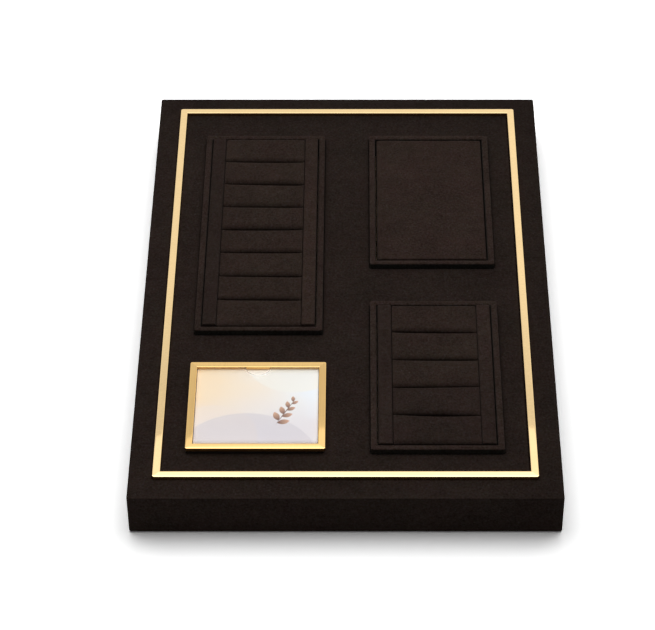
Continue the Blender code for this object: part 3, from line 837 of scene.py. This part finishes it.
# how far a right strip stands clear of the rim, both front ends reach past their block, both tops lie lower
stripFit = inMm(large_ring=(0.10, 0.20, 0.0), small_ring=(0.08, 0.35, 0.35))
dimBars = ("small_ring_bar_4", "small_ring_bar_5")


def foamStations(half, size):
    # places along the piece, closer together at its rounded ends
    endRound, endWide = size["endRound"], size["endRoll"][0]
    endStep, step, _ = foam["steps"]
    corner = endRound * np.sin(np.radians(np.linspace(90, 0, 5)))
    ends = half - endRound + np.concatenate([corner, spread(0.0, -endWide, endStep)[1:]])
    return np.unique(np.round(np.concatenate([-ends, spread(-ends.min(), ends.min(), step), ends]), 8))


def foamSide(half, bottom, top, wide, high):
    # One side from its foot up and over its roll, as places outward and heights. The roll is a quarter of an
    # ellipse, width x (1 - cos q) and height x (1 - sin q).
    q = np.radians(np.linspace(0, 90, 9))[:-1]
    outward = np.concatenate([np.full(6, half), half - wide * (1 - np.cos(q))])
    upright = np.linspace(bottom + foam["foot"], top - high, 7)[:-1]
    return outward, np.concatenate([upright, top - high * (1 - np.sin(q))])


def foamSection(half, bottom, top, size):
    # the closed section, as places across and heights: front side, top, back side and underside
    front, frontZ = foamSide(half, bottom, top, *size["frontRoll"])
    back, backZ = foamSide(half, bottom, top, *size["backRoll"])
    over = spread(size["frontRoll"][0] - half, half - size["backRoll"][0], foam["steps"][2])
    under = np.linspace(half - foam["foot"], foam["foot"] - half, 6)
    across = np.concatenate([-front, over, back[::-1], under])
    return across, np.concatenate([frontZ, np.full(len(over), top), backZ[::-1], np.full(6, bottom)])


def foamBlock(name, low, high, alongY, size, seed, backSlit=None, frontSlit=None):
    # A rounded section carried along the piece. The ends roll down by
    # height x (1 - square root of (1 - (distance / width) squared)). The top rises by
    # crown x (1 - u^2)(1 - v^2); a long side draws back from an open slit by
    # opening / 2 x exp(-((u - place) / width)^2) x (1 - u^power), fading out down to the slit's depth, and
    # moves with the slit's own shift + slant x u.
    a, b = (1, 0) if alongY else (0, 1)  # a runs along the piece, b across it
    halfA = (high[a] - low[a]) / 2 + size["swell"]
    halfB = (high[b] - low[b]) / 2 + (size["swell"] if alongY else 0.0)
    midA, midB = (high[a] + low[a]) / 2, (high[b] + low[b]) / 2
    topZ = high[2] - size["crown"]
    endWide, endHigh = size["endRoll"]
    endRound = size["endRound"]
    stations = foamStations(halfA, size)
    into = np.clip(abs(stations) - (halfA - endRound), 0, endRound)
    narrow = (endRound - np.sqrt(np.maximum(endRound ** 2 - into ** 2, 0.0)))[:, None]
    far = np.clip((abs(stations) - (halfA - endWide)) / endWide, 0, 1)
    lower = (endHigh * (1 - np.sqrt(1 - far ** 2)))[:, None]
    sectionB, sectionZ = foamSection(halfB, low[2], topZ, size)
    s, across = np.meshgrid(stations, sectionB, indexing="ij")
    z = np.broadcast_to(sectionZ, s.shape)
    u, v = s / halfA, across / halfB
    across = np.sign(across) * np.maximum(abs(across) - narrow * (abs(v) > 0.5), 0)
    rollHigh = max(size["frontRoll"][1], size["backRoll"][1])
    risen = np.clip((z - (topZ - rollHigh)) / rollHigh, 0, 1)
    z = z + risen * (size["crown"] * (1 - u ** 2) * (1 - v ** 2) - lower)
    z = z + risen * size["unevenness"] * waves(s + midA, across + midB, foam["waveSize"], seed) * 0.5
    upper = np.clip((z - (topZ - foam["slitDepth"])) / foam["slitDepth"], 0, 1) ** 1.5
    for slit, side in ((frontSlit, -1), (backSlit, 1)):
        if slit is not None:
            opening, spot, width, shift, slant = slit
            drawn = opening * mm * 0.5 * np.exp(-((u - spot) / width) ** 2) * (1 - u ** foam["fadeAtEnds"])
            share = np.clip(side * v, 0, 1)
            across = across - side * drawn * upper * share ** 2 + (shift + slant * u) * mm * share
    points = np.zeros(s.shape + (3,))
    points[..., a], points[..., b], points[..., 2] = s + midA, across + midB, z
    count = s.shape[1]
    hub = points.shape[0] * count
    ends = [fan(np.arange(count), hub), fan(hub - count + np.arange(count), hub + 1)]
    quads = np.concatenate([gridQuads(len(stations), count, closeColumns=True), *ends])
    middles = [points[0].mean(0), points[-1].mean(0)]
    return makeMesh(name, [(np.concatenate([points.reshape(-1, 3), middles]), quads)], 55)


def makeRingBars(kind):
    first, last = ((opening, 0.0, 9.0, 0.0, 0.0) for opening in rimSlits[kind])
    slits = [first, *ringSlits[kind], last]
    for number, (behind, ahead) in enumerate(zip(slits[:-1], slits[1:]), start=1):
        node = f"{kind}_bar_{number}"
        low, high, _, _ = boxOf(node)
        seed = foam["seeds"]["bar"] + number
        bar = foamBlock(f"{kind}_foam_bar_{number}", low, high, False, ringBar, seed, behind, ahead)
        material = suede["dim bar suede" if node in dimBars else "bar suede"]
        dress(bar, f"{kind}_tray", material, node)


def makeEndStrips(kind):
    clear, reach, lower = stripFit[kind]
    outer, inner = endStrip["outerRoll"], endStrip["innerRoll"]
    small = "small " if kind == "small_ring" else ""
    for number, side in enumerate(("left", "right")):
        low, high, _, _ = boxOf(f"{kind}_end_strip_{side}")
        high[0] -= clear if side == "right" else 0.0
        low[1] -= reach
        high[2] -= lower
        front, back = (outer, inner) if side == "left" else (inner, outer)
        size = {**endStrip, "frontRoll": front, "backRoll": back}
        strip = foamBlock(f"{kind}_strip_{side}", low, high, True, size, foam["seeds"]["strip"] + number)
        material = suede[f"{small}{side} strip suede"]
        dress(strip, f"{kind}_tray", material, f"{kind}_end_strip_{side}")


def makeFlatPad():
    low, high, _, _ = boxOf("display_pad")
    low[0] += flatPad["cutLeft"]
    high[:2] -= flatPad["cutRight"], flatPad["cutBack"]
    pad = foamBlock("flat_pad", low, high, True, flatPad, foam["seeds"]["pad"])
    dress(pad, "pad_tray", suede["pad suede"], "display_pad")


for kind in ringSlits:
    makeRingBars(kind)
    makeEndStrips(kind)
makeFlatPad()
print("foam bars, strips and pad made")


# Brass

borderShape = {
    "bar": borderBar,
    "round": 0.30 * mm,
    "corner": 1.3 * mm,
    "crown": 0.002 * mm,
    "lean": 0.011,  # the top falls outwards by this share of the bar
    "twist": 0.0,
    "pitch": 0.0,
}
holderShape = {
    "bar": 4.0 * mm,
    "round": 0.30 * mm,
    "corner": 1.0 * mm,
    "crown": 0.004 * mm,
    "lean": 0.017,
    "twist": 0.030,  # per metre: the back right and front left corners stand a little high
    "pitch": 0.001,  # the top falls towards the back by this share
}
brassFoot = 0.1 * mm  # chamfer of the lower edges
brassInnerCorner = 0.12 * mm


def makeBrassFrame(name, node, shape, material):
    # A bar carried round a rectangle. The whole frame is twisted and tilted:
    # z + twist (x - centre x) (y - centre y) - pitch (y - front), less the most that the twist adds, so that
    # no corner stands above its solid.
    low, high, halves, centre = boxOf(node)
    bar, rounds, foot = shape["bar"], (shape["round"],) * 2, (brassFoot,) * 2
    profile = barProfile(low[2], high[2], bar, rounds, shape["crown"], foot, (2, 9, 7, 7))
    profile[:, 1] -= shape["lean"] * (bar - profile[:, 0]) * (profile[:, 1] > high[2] - 1 * mm)
    points, quads = carriedRound(profile, halves, centre, shape["corner"], brassInnerCorner, 9, 13, 8)
    x, y, z = np.moveaxis(points, -1, 0)
    upShare = np.clip((z - low[2]) / (high[2] - low[2]), 0, 1)
    turned = shape["twist"] * (x - centre[0]) * (y - centre[1])
    fallen = shape["twist"] * halves[0] * halves[1] + shape["pitch"] * (y - low[1])
    points[..., 2] += upShare * (turned - fallen)
    dress(makeMesh(name, [(points, quads)], 40), "base", material, node)


makeBrassFrame("brass_inlay", "brass_border", borderShape, brass["border brass"])
makeBrassFrame("card_frame", "card_holder_frame", holderShape, brass["card frame brass"])
print("brass made")


# Card and cover

pushedBack = 0.2 * mm  # card and cover reach this far into the play at their frame's back wall
cardCorner = 0.4 * mm
coverShape = inMm(
    notchHalf=7.0,
    notchDepth=6.3,
    corner=0.5,
    polish=0.05,  # tiny chamfer of the sawn and polished edges
)


def plateColumns(halfX, corner, extra):
    # x positions dense at the corners, and how far the outline stands in from the edge there
    turn = np.radians(np.linspace(0, 90, 6))
    ends = halfX - corner + corner * np.sin(turn)
    xs = np.unique(np.round(np.concatenate([ends, -ends, extra, spread(-halfX, halfX, 6 * mm)]), 7))
    over = np.clip(abs(xs) - (halfX - corner), 0, corner)
    return xs, corner - np.sqrt(np.maximum(corner ** 2 - over ** 2, 0.0))


def makePlate(name, xs, y, centre, low, high, sharpDegrees):
    # a sheet in columns, through the rows of y positions, as thick as its solid
    x = np.broadcast_to(xs, y.shape)
    points = np.stack([x + centre[0], y + centre[1], np.full(y.shape, high[2])], -1)
    plate = makeMesh(name, [(points, gridQuads(*y.shape))], sharpDegrees)
    thicken(plate, high[2] - low[2])
    return plate


def makeCard():
    # one flat sheet from front to back, with its own map for the print
    low, high, halves, centre = boxOf("picture_card", pushedBack)
    xs, cut = plateColumns(halves[0], cardCorner, [])
    y = np.linspace(-1, 1, 15)[:, None] * (halves[1] - cut)
    card = makePlate("printed_card", xs, y, centre, low, high, 50)
    at = np.array([card.data.vertices[loop.vertex_index].co[:2] for loop in card.data.loops])
    share = (at - low[:2]) / (high[:2] - low[:2])
    card.data.uv_layers.new(name="print").data.foreach_set("uv", share.astype(np.float32).ravel())
    dress(card, "card", makePrintedCard(), "picture_card")


def makeCover():
    # a plate whose back edge dips by the notch arc, radius (half^2 + depth^2) / (2 depth)
    low, high, halves, centre = boxOf("clear_cover", pushedBack)
    half, depth = coverShape["notchHalf"], coverShape["notchDepth"]
    radius = (half ** 2 + depth ** 2) / (2 * depth)
    reach = math.asin(half / radius)
    arc = radius * np.sin(np.linspace(-reach, reach, 41))
    xs, cut = plateColumns(halves[0], coverShape["corner"], arc)
    dip = np.sqrt(np.maximum(radius ** 2 - xs ** 2, 0.0)) - (radius - depth)
    dip = np.where(abs(xs) <= half + 1e-9, np.maximum(dip, 0.0), 0.0)
    front, back = cut - halves[1], halves[1] - cut - dip
    share = np.concatenate([np.linspace(0, 0.8, 7), np.linspace(0.8, 1, 6)[1:]])[:, None]
    cover = makePlate("acrylic_cover", xs, front + share * (back - front), centre, low, high, 30)
    adjust(cover.modifiers.new("polished edges", "BEVEL"), width=coverShape["polish"], segments=2,
           limit_method="ANGLE", angle_limit=math.radians(50))
    dress(cover, "cover", makeAcrylic(), "clear_cover")


makeCard()
makeCover()
print("card and cover made")


# Felt and carried-over boards

plainBoards = {
    "raw mdf": ("base_lower_board", "base_upper_board", "large_ring_tray_floor", "small_ring_tray_floor",
                "pad_tray_floor"),
    "dark insert board": ("large_ring_insert_board", "small_ring_insert_board", "pad_backing_board"),
    "black board": ("card_holder_base",),
}

makeFlatCloth("underside_felt", "base_underside_felt", pressed["black felt"], lining["feltCorner"])
for name, nodes in plainBoards.items():
    for node in nodes:
        paint(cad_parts[node], pressed[name])
print("boards finished")


# Studio

studio = {
    "worldFill": 0.125,
    "worldHigh": (0.668, 0.698, 0.82),  # metal sees 1 below the first height, this share above the second
    "worldRight": (0.96, 0.98, 1.06),  # slope, least and most of the world's light towards the right
    "floorHalf": 1.0,
    "floorColour": 0.86,
    "floorShown": 1.45,  # the floor is overexposed for the camera, as in a cut-out picture
}
softbox = {
    "radiance": 3.15,
    "width": 1.8,
    "depth": 1.2,
    "edge": (-0.06, 0.599, 0.770),  # middle of its lower edge, behind the board
    "tilt": 36.0,  # degrees it leans over the board
    "roll": 1.5,  # degrees its right end hangs lower
    # height above that edge, and the share of its light there: dim cloth low down, brightest above it
    "shares": [(0.0, 0.138), (0.0265, 0.138), (0.030, 0.285), (0.045, 0.285), (0.08, 1.0), (0.30, 0.85),
               (0.705, 0.40)],
}
# Light that metal and the camera don't see: radiance, width, height, place, degrees it is turned up. One is
# the white wall behind the table, the other a pale card in front of it.
unseenLights = {
    "back wall glow": (2.7, 1.0, 0.75, (-0.04, 1.15, 0.60), -90.0),
    "front reflector": (0.65, 1.2, 0.5, (0.0, -1.30, 0.35), 75.0),
}
viewpoint = {
    "lens": 142.23,
    "sensor": 36.0,
    "shift": -30.2 / 655,  # of the picture's width
    "place": (0.00668, -1.14248, 1.06573),
    "tilt": 90 - 42.993,  # degrees up from straight down
}


def makeWorld():
    world = bpy.data.worlds.new("studio")
    bpy.context.scene.world = world
    world.use_nodes = True
    tree = world.node_tree
    path = addNode("LightPath", {}, tree).outputs
    way = axes(coordinates(tree, "Generated"))
    start, end, share = studio["worldHigh"]
    slope, least, fullest = studio["worldRight"]
    mirrored = ranged(way["Z"], start, end, 1.0, share)
    sideways = ranged(timesPlus(way["X"], slope, 1.0), least, fullest, least, fullest)
    mirrored = times(mirrored, times(sideways, path["Is Glossy Ray"]))
    strength = greatest(path["Is Camera Ray"], path["Is Transmission Ray"], mirrored, studio["worldFill"])
    wire(tree.nodes["Background"], {"Strength": strength, "Color": white})


def makeFloor():
    half = studio["floorHalf"]
    points = np.array([[-half, -half, 0.0], [half, -half, 0.0], [-half, half, 0.0], [half, half, 0.0]])
    floor = makeMesh("studio_floor", [(points, gridQuads(2, 2))])
    material, tree, shader, _ = newMaterial("white floor")
    tree.nodes.remove(shader)
    cameraRay = addNode("LightPath", {}, tree).outputs["Is Camera Ray"]
    colour, shown = studio["floorColour"], studio["floorShown"]
    level = timesPlus(cameraRay, shown - colour, colour)
    pale = addNode("CombineColor", {0: level, 1: level, 2: level}).outputs[0]
    surface = addNode("BsdfDiffuse", {"Color": pale}).outputs[0]
    wire(tree.nodes["Material Output"], {"Surface": surface})
    paint(floor, material)


def addAreaLight(name, radiance, width, height, location, turn):
    light = adjust(bpy.data.lights.new(name, "AREA"), shape="RECTANGLE", size=width, size_y=height,
                   energy=math.pi * width * height * radiance)
    return addObject(name, light, location=location, rotation_euler=turn)


def makeSoftbox():
    # the box rises from its lower edge forwards over the board, and its light changes with the height on it
    lean, roll = math.radians(softbox["tilt"]), math.radians(softbox["roll"])
    width, depth = softbox["width"], softbox["depth"]
    edgeX, edgeY, edgeZ = softbox["edge"]
    tall = math.sin(lean) * depth
    middle = (edgeX, edgeY - math.cos(lean) * depth / 2, edgeZ + tall / 2)
    lamp = addAreaLight("back softbox", softbox["radiance"], width, depth, middle, (-lean, roll, 0.0))
    lamp.data.use_nodes = True
    tree = lamp.data.node_tree
    spot = axes(addNode("NewGeometry", {}, tree).outputs["Position"])
    level = timesPlus(calc("SUBTRACT", spot["X"], edgeX), math.tan(roll), spot["Z"])
    ramp = addNode("ValToRGB", {0: ranged(level, edgeZ, edgeZ + tall)})
    stops = ramp.color_ramp.elements
    while len(stops) < len(softbox["shares"]):
        stops.new(1.0)
    for stop, (height, share) in zip(stops, softbox["shares"]):
        stop.position = min(height / tall, 1.0)
        stop.color = (share, share, share, 1.0)
    wire(tree.nodes["Emission"], {"Strength": ramp.outputs["Color"]})


def makeStudio():
    makeWorld()
    makeFloor()
    makeSoftbox()
    for name, (radiance, width, height, location, turn) in unseenLights.items():
        lamp = addAreaLight(name, radiance, width, height, location, (math.radians(turn), 0.0, 0.0))
        adjust(lamp, visible_glossy=False, visible_camera=False, visible_transmission=False)


def makeCamera():
    lens = adjust(bpy.data.cameras.new("photo camera"), lens=viewpoint["lens"],
                  sensor_width=viewpoint["sensor"], shift_x=viewpoint["shift"])
    turn = (math.radians(viewpoint["tilt"]), 0.0, 0.0)
    camera = addObject("photo camera", lens, location=viewpoint["place"], rotation_euler=turn)
    bpy.context.scene.camera = camera


makeStudio()
makeCamera()
bpy.context.scene.view_settings.view_transform = "Standard"
print("studio lit")
